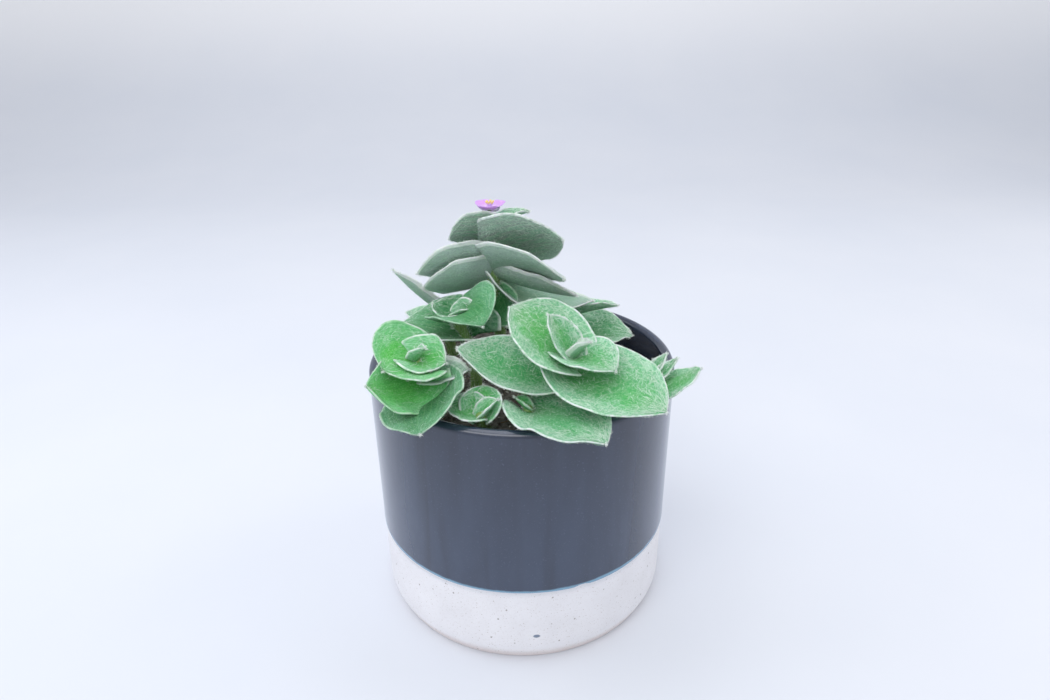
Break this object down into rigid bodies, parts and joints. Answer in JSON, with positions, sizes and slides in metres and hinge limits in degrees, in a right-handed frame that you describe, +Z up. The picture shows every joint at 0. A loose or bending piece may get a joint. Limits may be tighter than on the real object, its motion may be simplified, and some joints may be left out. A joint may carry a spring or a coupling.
{
  "type": "potted plant",
  "caption": "Velvet-leaved spiderwort with a small lilac flower, growing in a round two-tone glazed stoneware pot.",
  "frame": {"origin": "centre of the pot's flat foot, on the surface it stands on", "axes": "+Z up through the pot's axis; -Y towards the viewer of the front, where the two largest rosettes hang over the rim; +X to that viewer's right"},
  "size_m": [0.1278, 0.1379, 0.1699],
  "materials": {
    "stoneware": "gloss slate glaze above a bare speckled off-white foot band",
    "soil": "dry crumbly potting soil",
    "foliage": "soft leaves with white woolly hairs",
    "foliage_grey": "grey-green leaves with a purple tinge and white woolly margins",
    "petal": "soft lilac petals",
    "pollen": "pale yellow anthers"
  },
  "bodies": {
    "root": {"pot": "stoneware", "soil": "soil", "shoot_tall": "foliage_grey", "shoot_mid_left": "foliage", "shoot_front_left": "foliage", "shoot_front": "foliage", "shoot_rim": "foliage", "shoot_front_low": "foliage", "shoot_right": "foliage", "shoot_back_right": "foliage", "shoot_back_left": "foliage", "shoot_back": "foliage", "flower_petals": "petal", "flower_stamens": "pollen"}
  },
  "joints": []
}
